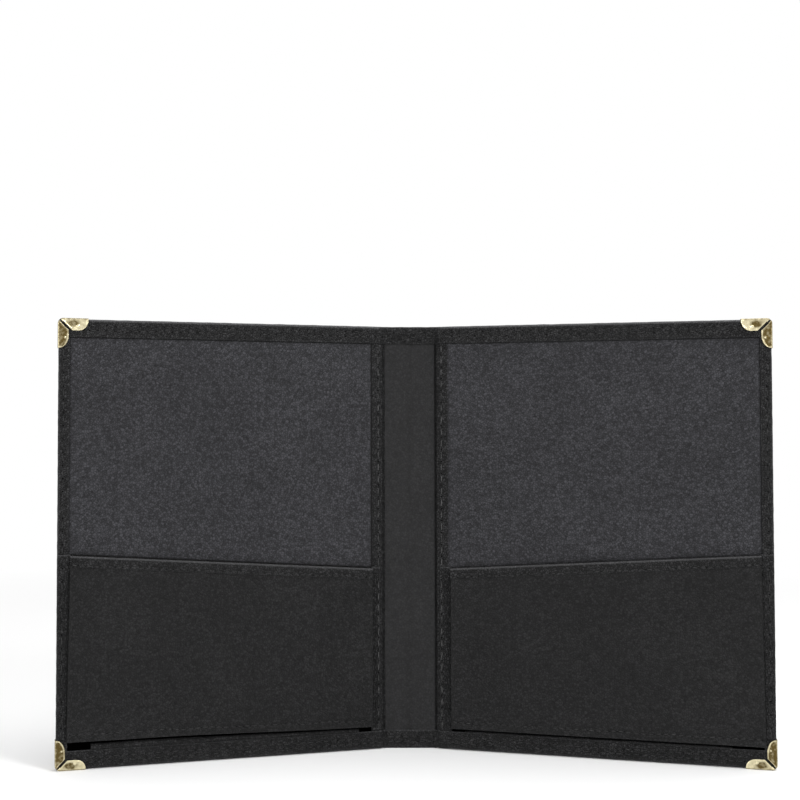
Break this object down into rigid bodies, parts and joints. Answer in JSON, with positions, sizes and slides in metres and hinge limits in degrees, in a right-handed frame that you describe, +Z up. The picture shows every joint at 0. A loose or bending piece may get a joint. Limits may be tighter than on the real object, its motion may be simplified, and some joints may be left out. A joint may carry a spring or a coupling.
{
  "type": "two-pocket album folder",
  "caption": "Sewn leatherette folder with stiff hinged covers, a soft spine, slanted expanding pockets inside and brass-protected corners, standing open.",
  "frame": {"origin": "middle of the bottom face of the spine, in the plane of the two cover hinge lines; that face is the surface that the open folder stands on", "axes": "+X runs across the open folder from the front cover to the back cover, +Y points from the inside of the spine to its outside, +Z runs up the spine"},
  "size_m": [0.493, 0.0657, 0.308],
  "materials": {
    "outer_leatherette": "satin",
    "trim_leatherette": "satin",
    "spine_leatherette": "satin",
    "pocket_leatherette": "satin",
    "lining_vinyl": "matte",
    "board": "matte",
    "thread": "matte",
    "brass": "satin"
  },
  "bodies": {
    "spine": {"spine_cover": "spine_leatherette", "spine_lining": "spine_leatherette", "spine_top_binding": "trim_leatherette", "spine_bottom_binding": "trim_leatherette", "spine_thread": "thread"},
    "front_cover": {"front_board": "board", "front_outer_panel": "outer_leatherette", "front_lining": "lining_vinyl", "front_outer_hinge_strip": "outer_leatherette", "front_inner_hinge_strip": "trim_leatherette", "front_top_binding": "trim_leatherette", "front_bottom_binding": "trim_leatherette", "front_side_binding": "trim_leatherette", "front_top_corner": "brass", "front_bottom_corner": "brass", "front_seam_thread": "thread", "front_pocket_bottom_gusset": "pocket_leatherette", "front_pocket_outer_gusset": "pocket_leatherette", "front_pocket_inner_gusset": "pocket_leatherette"},
    "front_pocket": {"front_pocket_panel": "pocket_leatherette", "front_pocket_hem": "pocket_leatherette", "front_pocket_thread": "thread"},
    "back_cover": {"back_board": "board", "back_outer_panel": "outer_leatherette", "back_lining": "lining_vinyl", "back_outer_hinge_strip": "outer_leatherette", "back_inner_hinge_strip": "trim_leatherette", "back_top_binding": "trim_leatherette", "back_bottom_binding": "trim_leatherette", "back_side_binding": "trim_leatherette", "back_top_corner": "brass", "back_bottom_corner": "brass", "back_seam_thread": "thread", "back_pocket_bottom_gusset": "pocket_leatherette", "back_pocket_outer_gusset": "pocket_leatherette", "back_pocket_inner_gusset": "pocket_leatherette"},
    "back_pocket": {"back_pocket_panel": "pocket_leatherette", "back_pocket_hem": "pocket_leatherette", "back_pocket_thread": "thread"}
  },
  "joints": [
    {"name": "front_hinge", "type": "hinge", "parent": "spine", "child": "front_cover", "pos_m": [-0.0195, 0, 0.154], "axis": [0, 0, 1], "range_deg": [-34.5, 75.5]},
    {"name": "back_hinge", "type": "hinge", "parent": "spine", "child": "back_cover", "pos_m": [0.0195, 0, 0.154], "axis": [0, 0, -1], "range_deg": [-34.5, 75.5]},
    {"name": "front_pocket_mouth", "type": "hinge", "parent": "front_cover", "child": "front_pocket", "pos_m": [-0.1312, -0.03539, 0.017], "axis": [0.9681, 0.2504, 0], "range_deg": [0, 4.5], "stiffness_Nm_per_rad": 0.06},
    {"name": "back_pocket_mouth", "type": "hinge", "parent": "back_cover", "child": "back_pocket", "pos_m": [0.1312, -0.03539, 0.0156], "axis": [0.9681, -0.2504, 0], "range_deg": [0, 4.5], "stiffness_Nm_per_rad": 0.06}
  ]
}
